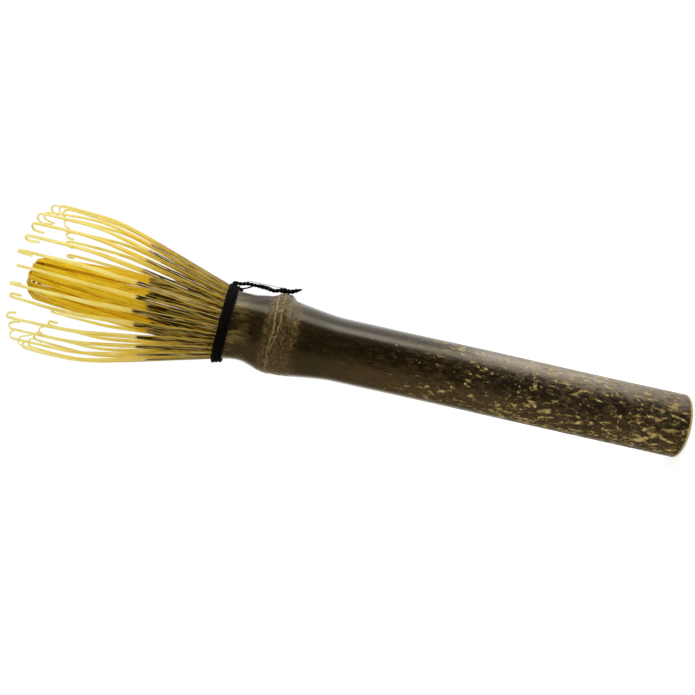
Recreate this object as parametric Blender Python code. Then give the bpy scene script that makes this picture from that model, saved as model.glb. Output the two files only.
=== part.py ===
"""Bamboo tea whisk with a long handle of black bamboo.

One culm carries everything. Its long internode is the handle, its node is the swollen collar, and
above the node the wall is split into fingers. Every finger carries one tine: the tines alternate
between an outer ring, which flares into a cage, and an inner ring, which closes into a bundle. A
thread binds the roots from outside, a turn of it lies between the two rings and holds them apart,
and its end is tied down over the node.

Metres, +Z up. The whisk stands on its sawn butt with its tines up.
"""

from math import cos, hypot, pi, radians, sin, tan

import bmesh
import bpy
from mathutils import Matrix, Vector

# --- Culm -------------------------------------------------------------------------------------
HANDLE_RADIUS = 0.0100
HANDLE_LENGTH = 0.1090  # butt to the foot of the node's swelling
HANDLE_WALL = 0.0040
BUTT_EDGE = 0.0006  # radius of the eased edge at the sawn butt

NODE_RADIUS = 0.0120
NODE_SWELL = 0.0205  # length over which the handle swells to the node
NODE_BAND = 0.0020  # length of the node's crown
SCAR_HEIGHT = 0.00025  # raised line that the leaf sheath leaves round the crown
SCAR_WIDTH = 0.0009
DIAPHRAGM = 0.0030  # the wall that closes the culm inside its node

WAIST_RADIUS = 0.0103
WAIST_DROP = 0.0082  # length from the node's crown to the waist
WAIST_WALL = 0.0023

SPLIT_RADIUS = 0.01155
SPLIT_FLARE = 0.0065  # length from the waist to the split end
SPLIT_WALL = 0.0012
SPLIT_DEPTH = 0.0036
SLOT_WIDTH = 0.00028
FLARE_POWER = 1.6

# A culm is fuller on the side where its branch grew, which is +X here.
KNUCKLE_HEIGHT = 0.00150  # bump on the node, under the branch
KNUCKLE_RISE = 0.0024
KNUCKLE_FALL = 0.0045
KNUCKLE_BELOW = 0.0051  # from its foot up to the middle of the node
KNUCKLE_ABOVE = 0.0035  # from the middle of the node up to its end
NECK_FULLNESS = 0.00065  # of the neck above it
NECK_FULLNESS_END = 0.0016  # its distance from the split end

HANDLE_LEAN = radians(-0.5)  # a culm changes direction a little at its node
HEAD_LEAN = radians(1.0)
LEAN_BLEND = 0.0040

# --- Tines ------------------------------------------------------------------------------------
TINE_PAIRS = 28
TINE_TURN = radians(3.2)  # of the first outer tine from the side of the branch
CLEARANCE = 0.0003  # between pieces that touch

# A tine's path lies in the plane of the radius and the height. It starts at an angle from the
# vertical and goes on in legs of even curvature, each a length, a turn (inward is negative) and
# the number of straight facets it is made of.
OUTER_START = 17.9
OUTER_LEGS = (
    (0.0260, -1.5, 2),
    (0.0120, -2.5, 2),
    (0.0090, -12.5, 4),
    (0.0142, -4.5, 2),
)
OUTER_HOOK_RADIUS = 0.0013
OUTER_HOOK_TURN = 170.0
OUTER_RETURN = 0.0020
OUTER_WIDTH = 0.00135
OUTER_TIP_WIDTH = 0.00065

INNER_START = -25.0
INNER_LEGS = (
    (0.0045, 19.5, 3),
    (0.0210, 3.0, 2),
    (0.0160, -1.0, 1),
    (0.0194, -3.5, 3),
)
INNER_HOOK_RADIUS = 0.0020
INNER_HOOK_TURN = 115.0
INNER_RETURN = 0.0004
INNER_WIDTH = 0.00150
INNER_TIP_WIDTH = 0.00055

TINE_BODY_THICKNESS = 0.00080
TINE_TIP_THICKNESS = 0.00030
TINE_THINNING = 0.0120  # length from the root over which a tine is shaved down
TINE_WIDENING = 0.0080  # length over which a tine reaches its full width

# --- Thread -----------------------------------------------------------------------------------
THREAD_RADIUS = 0.00050
SEPARATOR_RADIUS = 0.00025  # the finer thread between the two rings of tines
BINDING_TURNS = 3
BINDING_PITCH = 0.00108
BINDING_START = -0.0015  # height of the first turn, from the split end
BINDING_END_ANGLE = radians(-14.0)
TAIL_RADIUS = 0.00055
KNOT_SWELL = 1.35

ROUND_SEGMENTS = 40
TURN_SEGMENTS = 30

# --- Places that follow from the sizes --------------------------------------------------------
NODE_TOP = HANDLE_LENGTH + NODE_SWELL
NODE_MIDDLE = NODE_TOP + NODE_BAND / 2
CROWN_END = NODE_TOP + NODE_BAND
WAIST = CROWN_END + WAIST_DROP
SPLIT_END = WAIST + SPLIT_FLARE
BORE_RADIUS = HANDLE_RADIUS - HANDLE_WALL
CUP_RADIUS = WAIST_RADIUS - WAIST_WALL
MOUTH_RADIUS = SPLIT_RADIUS - SPLIT_WALL
TINE_ROOT_RADIUS = SPLIT_RADIUS - SPLIT_WALL / 2
NODE_CENTRE = Vector((tan(HANDLE_LEAN) * NODE_MIDDLE, 0, NODE_MIDDLE))


def blend(x):
    """Smooth step from 0 to 1."""
    x = min(max(x, 0.0), 1.0)
    return x * x * (3 - 2 * x)


def mix(a, b, share):
    return a + (b - a) * share


# --- Objects and materials --------------------------------------------------------------------
def clear_scene():
    for item in list(bpy.data.objects):
        bpy.data.objects.remove(item, do_unlink=True)


def make_material(name, color, roughness):
    material = bpy.data.materials.new(name)
    material.use_nodes = True
    shader = material.node_tree.nodes["Principled BSDF"]
    shader.inputs["Base Color"].default_value = (*color, 1.0)
    shader.inputs["Roughness"].default_value = roughness
    shader.inputs["Metallic"].default_value = 0.0
    return material


def add_object(name, data, material=None, parent=None):
    item = bpy.data.objects.new(name, data)
    if material and not data.materials:
        data.materials.append(material)
    item.parent = parent
    bpy.context.scene.collection.objects.link(item)
    return item


def finish_mesh(name, bm, sharp_angle):
    bmesh.ops.recalc_face_normals(bm, faces=bm.faces)
    mesh = bpy.data.meshes.new(name)
    bm.to_mesh(mesh)
    bm.free()
    mesh.shade_smooth()
    mesh.set_sharp_from_angle(angle=radians(sharp_angle))
    return mesh


# --- Culm -------------------------------------------------------------------------------------
def culm_radius(height):
    """Outer radius of the culm at a height above its butt."""
    if height <= NODE_TOP:
        return mix(HANDLE_RADIUS, NODE_RADIUS, blend((height - HANDLE_LENGTH) / NODE_SWELL))
    if height <= CROWN_END:
        off_scar = abs(height - NODE_MIDDLE) / (SCAR_WIDTH / 2)
        return NODE_RADIUS + SCAR_HEIGHT * max(0.0, 1 - off_scar)
    if height <= WAIST:
        return mix(NODE_RADIUS, WAIST_RADIUS, blend((height - CROWN_END) / WAIST_DROP))
    share = (height - WAIST) / SPLIT_FLARE
    return mix(WAIST_RADIUS, SPLIT_RADIUS, share**FLARE_POWER)


def side_bulge(facing, height):
    """How far the culm's skin stands out at a height, where facing is the cosine of the angle
    from the side of the branch."""
    foot = NODE_MIDDLE - KNUCKLE_BELOW
    end = NODE_MIDDLE + KNUCKLE_ABOVE
    knuckle = blend((height - foot) / KNUCKLE_RISE) * blend((end - height) / KNUCKLE_FALL)
    neck_rise = blend((height - CROWN_END) / (WAIST - CROWN_END) / 0.8)
    neck_end = SPLIT_END - NECK_FULLNESS_END
    neck = neck_rise * blend((neck_end - height) / (neck_end - WAIST))
    width = blend((facing + 0.1) / 1.1)
    return KNUCKLE_HEIGHT * knuckle * width + NECK_FULLNESS * neck * max(facing, 0.0)


def spread(start, end, steps):
    """Heights from start up to end, without the start."""
    return [mix(start, end, i / steps) for i in range(1, steps + 1)]


def culm_outline():
    """Closed half section of the culm as (radius, height), from the axis round to the axis."""
    bore_top = NODE_MIDDLE - DIAPHRAGM / 2
    cup_floor = NODE_MIDDLE + DIAPHRAGM / 2
    bore_dome = BORE_RADIUS / 2
    cup_dome = (WAIST - cup_floor) / 2
    quarter = [pi / 2 * i / 4 for i in range(5)]

    bore = [(BORE_RADIUS * sin(a), bore_top - bore_dome * (1 - cos(a))) for a in quarter]
    butt = [(BORE_RADIUS, 0.0)]
    for a in (0.0, pi / 4, pi / 2):
        butt.append((HANDLE_RADIUS - BUTT_EDGE * (1 - sin(a)), BUTT_EDGE * (1 - cos(a))))

    knuckle_foot = NODE_MIDDLE - KNUCKLE_BELOW
    heights = [HANDLE_LENGTH]
    heights += spread(HANDLE_LENGTH, knuckle_foot, 6)
    heights += spread(knuckle_foot, NODE_TOP, 4)
    heights += [NODE_MIDDLE - SCAR_WIDTH / 2, NODE_MIDDLE, NODE_MIDDLE + SCAR_WIDTH / 2]
    heights += [CROWN_END]
    heights += spread(CROWN_END, WAIST, 6)
    heights += spread(WAIST, SPLIT_END, 4)
    outside = [(culm_radius(height), height) for height in heights]

    cup = [(MOUTH_RADIUS, SPLIT_END)]
    for a in reversed(quarter):
        cup.append((CUP_RADIUS * sin(a), cup_floor + cup_dome * (1 - cos(a))))
    return bore + butt + outside + cup


def lean(point):
    """Sets a point of the straight culm on the culm that leans one way below its node and the
    other way above it. Below the node only the centre line leans, so the butt stays level."""
    below = point + Vector((tan(HANDLE_LEAN) * point.z, 0, 0))
    arm = Vector((point.x, point.y, point.z - NODE_MIDDLE))
    above = NODE_CENTRE + Matrix.Rotation(HEAD_LEAN, 3, "Y") @ arm
    share = blend((point.z - NODE_MIDDLE + LEAN_BLEND) / (2 * LEAN_BLEND))
    return below.lerp(above, share)


def add_head_frame():
    """The empty at the middle of the split end that carries tines and thread."""
    frame = add_object("head_frame", None)
    frame.location = lean(Vector((0, 0, SPLIT_END)))
    frame.rotation_euler = (0, HEAD_LEAN, 0)
    return frame


def add_slot_cutter(head_frame):
    """Thin blades, one between every two fingers of the split end."""
    bm = bmesh.new()
    inside = MOUTH_RADIUS * 0.6
    outside = SPLIT_RADIUS * 1.3
    bottom = -SPLIT_DEPTH
    top = SPLIT_DEPTH
    size = Vector((outside - inside, SLOT_WIDTH, top - bottom))
    centre = Vector(((outside + inside) / 2, 0, (top + bottom) / 2))
    blade = Matrix.Translation(centre) @ Matrix.Diagonal((*size, 1.0))
    for slot in range(2 * TINE_PAIRS):
        angle = TINE_TURN + (slot + 0.5) * pi / TINE_PAIRS
        bmesh.ops.create_cube(bm, size=1.0, matrix=Matrix.Rotation(angle, 4, "Z") @ blade)
    cutter = add_object("slot_cutter", finish_mesh("slot_cutter", bm, 30), parent=head_frame)
    cutter.hide_render = True
    cutter.display_type = "WIRE"
    return cutter


def add_culm(material, head_frame):
    bm = bmesh.new()
    outline = [bm.verts.new((radius, 0, height)) for radius, height in culm_outline()]
    edges = [bm.edges.new(pair) for pair in zip(outline, outline[1:])]
    bmesh.ops.spin(
        bm,
        geom=outline + edges,
        cent=(0, 0, 0),
        axis=(0, 0, 1),
        angle=2 * pi,
        steps=ROUND_SEGMENTS,
    )
    bmesh.ops.remove_doubles(bm, verts=bm.verts, dist=1e-6)
    for vert in bm.verts:
        radius = hypot(vert.co.x, vert.co.y)
        if radius > culm_radius(vert.co.z) - SCAR_HEIGHT:
            bulge = side_bulge(vert.co.x / radius, vert.co.z)
            vert.co.x += bulge * vert.co.x / radius
            vert.co.y += bulge * vert.co.y / radius
        vert.co = lean(vert.co)
    culm = add_object("bamboo_handle", finish_mesh("bamboo_handle", bm, 35), material)
    slots = culm.modifiers.new("slots", "BOOLEAN")
    slots.object = add_slot_cutter(head_frame)
    slots.operation = "DIFFERENCE"
    slots.solver = "EXACT"


# --- Tines ------------------------------------------------------------------------------------
def tine_path(start, legs, hook_radius, hook_turn, back):
    """Stations of a tine as (distance along it, radius, height, heading), from its root up."""
    hook = (hook_radius * radians(hook_turn), -hook_turn, 6)
    heading = radians(start)
    along, radius, height = 0.0, TINE_ROOT_RADIUS, CLEARANCE
    stations = [(along, radius, height, heading)]
    for length, turn, steps in (*legs, hook, (back, 0.0, 1)):
        for _ in range(steps):
            heading += radians(turn) / steps / 2
            along += length / steps
            radius += sin(heading) * length / steps
            height += cos(heading) * length / steps
            heading += radians(turn) / steps / 2
            stations.append((along, radius, height, heading))
    return stations


def tine_thickness(along, full_length):
    body = mix(TINE_BODY_THICKNESS, TINE_TIP_THICKNESS, along / full_length)
    return mix(SPLIT_WALL, body, blend(along / TINE_THINNING))


def tine_width(along, full_length, radius, body_width, tip_width):
    """A tine starts as a wedge between its two slots and grows into a flat strip."""
    root_width = 2 * radius * sin(pi / (2 * TINE_PAIRS)) - SLOT_WIDTH
    grown = mix(root_width, body_width, blend(along / TINE_WIDENING))
    return mix(grown, tip_width, blend(along / full_length))


def tine_mesh(name, stations, body_width, tip_width):
    """A flat strip of bamboo, swept along its stations in the XZ plane."""
    bm = bmesh.new()
    full_length = stations[-1][0]
    rings = []
    for along, radius, height, heading in stations:
        outward = Vector((cos(heading), 0, -sin(heading))) * tine_thickness(along, full_length) / 2
        ring = []
        for face, side in ((1, 1), (1, -1), (-1, -1), (-1, 1)):
            corner = Vector((radius, 0, height)) + face * outward
            width = tine_width(along, full_length, corner.x, body_width, tip_width)
            corner.y = side * width / 2
            ring.append(bm.verts.new(corner))
        rings.append(ring)
    for low, high in zip(rings, rings[1:]):
        for i in range(4):
            j = (i + 1) % 4
            bm.faces.new((low[i], low[j], high[j], high[i]))
    bm.faces.new(rings[0])
    bm.faces.new(rings[-1])
    return finish_mesh(name, bm, 30)


def add_tines(kind, mesh, first_angle, material, head_frame):
    for number in range(TINE_PAIRS):
        tine = add_object(f"{kind}_tine_{number + 1:02d}", mesh, material, head_frame)
        tine.rotation_euler = (0, 0, first_angle + number * 2 * pi / TINE_PAIRS)


# --- Thread -----------------------------------------------------------------------------------
def add_cord(name, points, radius, material, parent, closed=False, swells=None):
    curve = bpy.data.curves.new(name, "CURVE")
    curve.dimensions = "3D"
    curve.bevel_depth = radius
    curve.bevel_resolution = 2
    curve.use_fill_caps = True
    curve.resolution_u = 1
    curve.render_resolution_u = 0
    spline = curve.splines.new("POLY")
    spline.points.add(len(points) - 1)
    for i, (target, point) in enumerate(zip(spline.points, points)):
        target.co = (*point, 1.0)
        target.radius = swells[i] if swells else 1.0
    spline.use_cyclic_u = closed
    spline.use_smooth = True
    return add_object(name, curve, material, parent)


def head_radius(height):
    """Outer radius of culm and tine roots at a height from the split end."""
    if height <= 0:
        return culm_radius(SPLIT_END + height)
    return SPLIT_RADIUS + height * tan(radians(OUTER_START))


def binding_point(angle, height):
    radius = head_radius(height) + CLEARANCE + THREAD_RADIUS
    return Vector((radius * cos(angle), radius * sin(angle), height))


def add_binding(material, head_frame):
    steps = BINDING_TURNS * TURN_SEGMENTS
    points = []
    for i in range(steps + 1):
        turns_left = BINDING_TURNS * (1 - i / steps)
        height = BINDING_START + (BINDING_TURNS - turns_left) * BINDING_PITCH
        points.append(binding_point(BINDING_END_ANGLE - turns_left * 2 * pi, height))
    add_cord("binding_thread", points, THREAD_RADIUS, material, head_frame)


def face_radius(stations, height, side):
    """Radius of a tine's outer (side 1) or inner (side -1) face at a height on its shaft."""
    full_length = stations[-1][0]
    for low, high in zip(stations, stations[1:]):
        if low[2] <= height <= high[2]:
            share = (height - low[2]) / (high[2] - low[2])
            along = mix(low[0], high[0], share)
            half = tine_thickness(along, full_length) / 2 / cos(mix(low[3], high[3], share))
            return mix(low[1], high[1], share) + side * half
    return stations[-1][1]


def add_separating_thread(material, head_frame, outer, inner):
    """A turn of thread, as far down the fork between the two rings of tines as it goes."""
    step = 0.0001
    low_side = 2 * CLEARANCE
    while True:
        inside = face_radius(inner, low_side, 1)
        outside = face_radius(outer, low_side, -1)
        if outside - inside >= 2 * (SEPARATOR_RADIUS + CLEARANCE):
            break
        low_side += step
    radius = (inside + outside) / 2
    height = low_side + SEPARATOR_RADIUS
    points = []
    for i in range(TURN_SEGMENTS):
        angle = i * 2 * pi / TURN_SEGMENTS
        points.append(Vector((radius * cos(angle), radius * sin(angle), height)))
    add_cord("separating_thread", points, SEPARATOR_RADIUS, material, head_frame, closed=True)


def smooth_route(points, steps):
    """Points on a smooth curve through the given ones."""
    ends = [2 * points[0] - points[1], *points, 2 * points[-1] - points[-2]]
    route = []
    for a, b, c, d in zip(ends, ends[1:], ends[2:], ends[3:]):
        for i in range(steps):
            t = i / steps
            route.append(
                (
                    2 * b
                    + (c - a) * t
                    + (2 * a - 5 * b + 4 * c - d) * t * t
                    + (3 * b - a - 3 * c + d) * t * t * t
                )
                / 2
            )
    return [*route, points[-1]]


def add_tail(material, head_frame):
    """The end of the thread: off the last turn, over the band and down across the node."""
    last = BINDING_START + BINDING_TURNS * BINDING_PITCH
    start_angle = BINDING_END_ANGLE + CLEARANCE * 1.6 / head_radius(last)
    seat = head_radius(last) + CLEARANCE + THREAD_RADIUS
    over_band = seat + THREAD_RADIUS + CLEARANCE + TAIL_RADIUS
    over_node = NODE_RADIUS + KNUCKLE_HEIGHT + CLEARANCE + TAIL_RADIUS * KNOT_SWELL
    node = NODE_MIDDLE - SPLIT_END
    route = [
        Vector((seat * cos(start_angle), seat * sin(start_angle), last)),
        Vector((seat + 0.0003, seat * sin(start_angle) / 2, last + 0.0001)),
        Vector((over_band, -0.0002, last - 0.0012)),
        Vector((over_band + 0.0003, 0.0002, last - 0.0029)),
        Vector((over_band - 0.0002, 0.0002, last - 0.0053)),
        Vector((over_band - 0.0004, 0.0001, last - 0.0084)),
        Vector((over_band - 0.0005, 0.0, last - 0.0116)),
        Vector((over_node - 0.0009, 0.0, node + 0.0034)),
        Vector((over_node - 0.0002, 0.0, node + 0.0012)),
        Vector((over_node, 0.0, node - 0.0015)),
        Vector((over_node + 0.0007, 0.0, node - 0.0031)),
        Vector((over_node + 0.0017, 0.0001, node - 0.0051)),
    ]
    swells = [1.0] * 7 + [1.1, KNOT_SWELL, KNOT_SWELL, 1.2, 0.7]
    steps = 2
    radii = []
    for low, high in zip(swells, swells[1:]):
        radii += [mix(low, high, i / steps) for i in range(steps)]
    radii.append(swells[-1])
    points = smooth_route(route, steps)
    add_cord("thread_tail", points, TAIL_RADIUS, material, head_frame, swells=radii)


# --- Whisk ------------------------------------------------------------------------------------
def build():
    clear_scene()
    black_bamboo = make_material("black_bamboo", (0.045, 0.035, 0.022), 0.32)
    shaved_bamboo = make_material("shaved_bamboo", (0.62, 0.44, 0.12), 0.55)
    black_thread = make_material("black_thread", (0.012, 0.012, 0.014), 0.85)

    head_frame = add_head_frame()
    add_culm(black_bamboo, head_frame)

    outer = tine_path(OUTER_START, OUTER_LEGS, OUTER_HOOK_RADIUS, OUTER_HOOK_TURN, OUTER_RETURN)
    inner = tine_path(INNER_START, INNER_LEGS, INNER_HOOK_RADIUS, INNER_HOOK_TURN, INNER_RETURN)
    outer_mesh = tine_mesh("outer_tine", outer, OUTER_WIDTH, OUTER_TIP_WIDTH)
    inner_mesh = tine_mesh("inner_tine", inner, INNER_WIDTH, INNER_TIP_WIDTH)
    add_tines("outer", outer_mesh, TINE_TURN, shaved_bamboo, head_frame)
    add_tines("inner", inner_mesh, TINE_TURN + pi / TINE_PAIRS, shaved_bamboo, head_frame)

    add_binding(black_thread, head_frame)
    add_separating_thread(black_thread, head_frame, outer, inner)
    add_tail(black_thread, head_frame)


build()
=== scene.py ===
"""Looks of the bamboo tea whisk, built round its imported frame.

The culm, each of the 56 tines and the threads are rebuilt here in fine detail over their CAD
nodes, from the same named sizes. Only the tines are wider and thicker, because a real fan is
denser. Metres, +Z up, the whisk stands on its butt.
"""

import random
from math import cos, exp, pi, radians, sin, tan

import bpy
from mathutils import Matrix, Vector, noise


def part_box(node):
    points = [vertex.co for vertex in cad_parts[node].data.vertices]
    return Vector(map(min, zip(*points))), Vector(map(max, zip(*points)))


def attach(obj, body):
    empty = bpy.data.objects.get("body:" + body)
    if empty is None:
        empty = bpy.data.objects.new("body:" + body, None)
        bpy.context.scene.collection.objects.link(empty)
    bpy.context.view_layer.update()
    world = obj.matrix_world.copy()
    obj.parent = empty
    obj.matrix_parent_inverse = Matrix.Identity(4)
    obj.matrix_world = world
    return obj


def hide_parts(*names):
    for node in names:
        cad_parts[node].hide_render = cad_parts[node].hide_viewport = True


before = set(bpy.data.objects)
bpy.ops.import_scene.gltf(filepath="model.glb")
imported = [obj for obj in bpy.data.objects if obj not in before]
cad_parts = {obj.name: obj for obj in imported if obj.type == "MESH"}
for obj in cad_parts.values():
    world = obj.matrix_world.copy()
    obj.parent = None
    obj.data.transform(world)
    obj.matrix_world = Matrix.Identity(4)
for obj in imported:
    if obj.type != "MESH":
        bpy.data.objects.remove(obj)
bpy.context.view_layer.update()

# --- Sizes, the CAD model's but for the tines' widths and thicknesses -------------------------
HANDLE_RADIUS = 0.01
HANDLE_LENGTH = 0.109
BORE_RADIUS = 0.006
BUTT_EDGE = 0.0006
NODE_RADIUS = 0.012
NODE_TOP = 0.1295
NODE_MIDDLE = 0.1305
CROWN_END = 0.1315
DIAPHRAGM = 0.003
WAIST_RADIUS = 0.0103
WAIST = 0.1397
CUP_RADIUS = 0.008
SPLIT_RADIUS = 0.01155
SPLIT_FLARE = 0.0065
SPLIT_END = 0.1462
SPLIT_WALL = 0.0012
FLARE_POWER = 1.6
KNUCKLE_HEIGHT = 0.0015
KNUCKLE_RISE = 0.0024
KNUCKLE_FALL = 0.0045
KNUCKLE_BELOW = 0.0051
KNUCKLE_ABOVE = 0.0035
NECK_FULLNESS = 0.00065
NECK_FULLNESS_END = 0.0016
HANDLE_LEAN = radians(-0.5)
HEAD_LEAN = radians(1.0)
LEAN_BLEND = 0.004

TINE_PAIRS = 28
TINE_TURN = radians(3.2)
ROOT_GAP = 0.0001  # between the roots of neighbouring tines, pressed together by the thread
# A tine starts at an angle from upright, in degrees, and goes on in legs of (length, turn,
# steps), then in a hook of (radius, turn, steps) and a straight end. Outwards is positive.
OUTER_START = 17.9
OUTER_LEGS = (
    (0.026, -1.5, 9),
    (0.012, -2.5, 5),
    (0.009, -12.5, 8),
    (0.0142, -4.5, 6),
)
OUTER_HOOK = (0.0013, 170.0, 14)
OUTER_RETURN = 0.002
OUTER_WIDTH = 0.0019
OUTER_TIP_WIDTH = 0.00085
INNER_START = -25.0
INNER_LEGS = (
    (0.0045, 19.5, 6),
    (0.021, 3.0, 7),
    (0.016, -1.0, 5),
    (0.0194, -3.5, 7),
)
INNER_HOOK = (0.002, 115.0, 10)
INNER_RETURN = 0.0004
INNER_WIDTH = 0.00205
INNER_TIP_WIDTH = 0.0016
BODY_THICKNESS = 0.00095
TIP_THICKNESS = 0.00034
THINNING = 0.012
WIDENING = 0.008
OUTER_SKIN = (0.0255, 0.0027)  # the dark skin ends this far up a tine, and more towards +X
INNER_SKIN = (0.0238, 0.0015)

CLEARANCE = 0.0003
THREAD_RADIUS = 0.0005
SEPARATOR_RADIUS = 0.00025
BINDING_TURNS = 3
BINDING_PITCH = 0.00108
BINDING_START = -0.0015
BINDING_END_ANGLE = radians(-14.0)
TAIL_RADIUS = 0.00055
KNOT_SWELL = 1.35

NODE_CENTRE = Vector((tan(HANDLE_LEAN) * NODE_MIDDLE, 0, NODE_MIDDLE))
MOUTH_RADIUS = SPLIT_RADIUS - SPLIT_WALL
TINE_ROOT_RADIUS = SPLIT_RADIUS - SPLIT_WALL / 2

draw = random.Random(28)


def blend(x):
    """Smooth step from 0 to 1."""
    x = min(max(x, 0.0), 1.0)
    return x * x * (3 - 2 * x)


def mix(a, b, share):
    return a + (b - a) * share


def bell(x):
    return exp(-x * x)


def wave(x, y, z):
    """Smooth noise from -1 to 1. Each coordinate comes at the scale that it is wanted at."""
    return noise.noise(Vector((x, y, z)))


def culm_radius(height):
    if height <= NODE_TOP:
        swell = (height - HANDLE_LENGTH) / (NODE_TOP - HANDLE_LENGTH)
        return mix(HANDLE_RADIUS, NODE_RADIUS, blend(swell))
    if height <= CROWN_END:
        return NODE_RADIUS
    if height <= WAIST:
        return mix(NODE_RADIUS, WAIST_RADIUS, blend((height - CROWN_END) / (WAIST - CROWN_END)))
    share = (height - WAIST) / SPLIT_FLARE
    return mix(WAIST_RADIUS, SPLIT_RADIUS, share**FLARE_POWER)


def side_bulge(facing, height):
    """How far the skin stands out on the side of the branch, +X."""
    foot = NODE_MIDDLE - KNUCKLE_BELOW
    end = NODE_MIDDLE + KNUCKLE_ABOVE
    knuckle = blend((height - foot) / KNUCKLE_RISE) * blend((end - height) / KNUCKLE_FALL)
    neck_rise = blend((height - CROWN_END) / (WAIST - CROWN_END) / 0.8)
    neck_end = SPLIT_END - NECK_FULLNESS_END
    neck = neck_rise * blend((neck_end - height) / (neck_end - WAIST))
    width = blend((facing + 0.1) / 1.1)
    return KNUCKLE_HEIGHT * knuckle * width + NECK_FULLNESS * neck * max(facing, 0.0)


def lean(point):
    below = point + Vector((tan(HANDLE_LEAN) * point.z, 0, 0))
    arm = Vector((point.x, point.y, point.z - NODE_MIDDLE))
    above = NODE_CENTRE + Matrix.Rotation(HEAD_LEAN, 3, "Y") @ arm
    share = blend((point.z - NODE_MIDDLE + LEAN_BLEND) / (2 * LEAN_BLEND))
    return below.lerp(above, share)


HEAD = Matrix.Translation(lean(Vector((0, 0, SPLIT_END)))) @ Matrix.Rotation(HEAD_LEAN, 4, "Y")


# --- Materials --------------------------------------------------------------------------------
class Nodes:
    """The node tree of a material or the world, with short calls for the nodes used here."""

    def __init__(self, owner, output="Material"):
        owner.use_nodes = True
        self.owner = owner
        self.tree = owner.node_tree
        self.tree.nodes.clear()
        self.output = self.new("Output" + output)

    def new(self, kind, inputs=None, **settings):
        """A new node. Its inputs go by name or number, and are linked or set."""
        node = self.tree.nodes.new("ShaderNode" + kind)
        for name, value in settings.items():
            setattr(node, name, value)
        for key, value in (inputs or {}).items():
            self.link(value, node.inputs[key])
        return node

    def link(self, value, socket):
        if isinstance(value, bpy.types.NodeSocket):
            self.tree.links.new(value, socket)
        elif socket.type == "RGBA":
            socket.default_value = (*value, 1.0)
        else:
            socket.default_value = value

    def place(self):
        return self.new("TexCoord").outputs["Object"]

    def attribute(self, name):
        return self.new("Attribute", attribute_name=name).outputs["Fac"]

    def math(self, operation, a, b=0.0):
        return self.new("Math", {0: a, 1: b}, operation=operation).outputs[0]

    def plus(self, a, b):
        return self.math("ADD", a, b)

    def minus(self, a, b):
        return self.math("SUBTRACT", a, b)

    def times(self, a, b):
        return self.math("MULTIPLY", a, b)

    def over(self, a, b):
        return self.math("DIVIDE", a, b)

    def ragged(self, value, cloud, amount, middle=0.5):
        """value moved up and down by a noise, which lies round middle."""
        return self.plus(value, self.times(self.minus(cloud, middle), amount))

    def split(self, vector):
        return self.new("SeparateXYZ", {0: vector}).outputs

    def join(self, x, y, z):
        return self.new("CombineXYZ", {0: x, 1: y, 2: z}).outputs[0]

    def stretch(self, vector, scale, offset=(0, 0, 0)):
        inputs = {"Vector": vector, "Scale": scale, "Location": offset}
        return self.new("Mapping", inputs).outputs[0]

    def noise(self, vector, scale, detail=2.0, roughness=0.5, distortion=0.0):
        inputs = {"Vector": vector, "Scale": scale, "Detail": detail, "Roughness": roughness}
        inputs["Distortion"] = distortion
        return self.new("TexNoise", inputs).outputs["Fac"]

    def cells(self, vector, scale):
        return self.new("TexVoronoi", {"Vector": vector, "Scale": scale}).outputs["Distance"]

    def step(self, value, start, end, low=0.0, high=1.0):
        """Goes smoothly from low to high while value goes from start to end."""
        inputs = dict(enumerate((value, start, end, low, high)))
        return self.new("MapRange", inputs, interpolation_type="SMOOTHSTEP").outputs[0]

    def ramp(self, value, *stops):
        node = self.new("ValToRGB", {0: value})
        band = node.color_ramp
        while len(band.elements) < len(stops):
            band.elements.new(0.5)
        for element, (position, color) in zip(band.elements, stops):
            element.position = position
            element.color = (*color, 1.0)
        return node.outputs[0]

    def mix(self, share, a, b, blend_type="MIX"):
        inputs = {0: share, 6: a, 7: b}
        return self.new("Mix", inputs, data_type="RGBA", blend_type=blend_type).outputs[2]

    def bump(self, height, distance, strength=1.0, under=None):
        inputs = {"Height": height, "Distance": distance, "Strength": strength}
        if under:
            inputs["Normal"] = under
        return self.new("Bump", inputs).outputs[0]

    def surface(self, color, roughness, normal, specular=0.5, tint=(1.0, 1.0, 1.0)):
        inputs = {"Base Color": color, "Roughness": roughness, "Normal": normal}
        inputs |= {"Specular IOR Level": specular, "Specular Tint": tint}
        return self.new("BsdfPrincipled", inputs).outputs[0]

    def seen(self):
        """1 for what the camera sees, also through something, and 0 for light that falls here."""
        rays = self.new("LightPath").outputs
        return self.math("MAXIMUM", rays["Is Camera Ray"], rays["Is Transmission Ray"])

    def show(self, shader):
        self.link(shader, self.output.inputs["Surface"])
        return self.owner


DARK_SKIN = 0.15  # the height over which the dark skin's own colours run
MARKED_SKIN = 0.12  # the height over which the tan marks thin out


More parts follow.
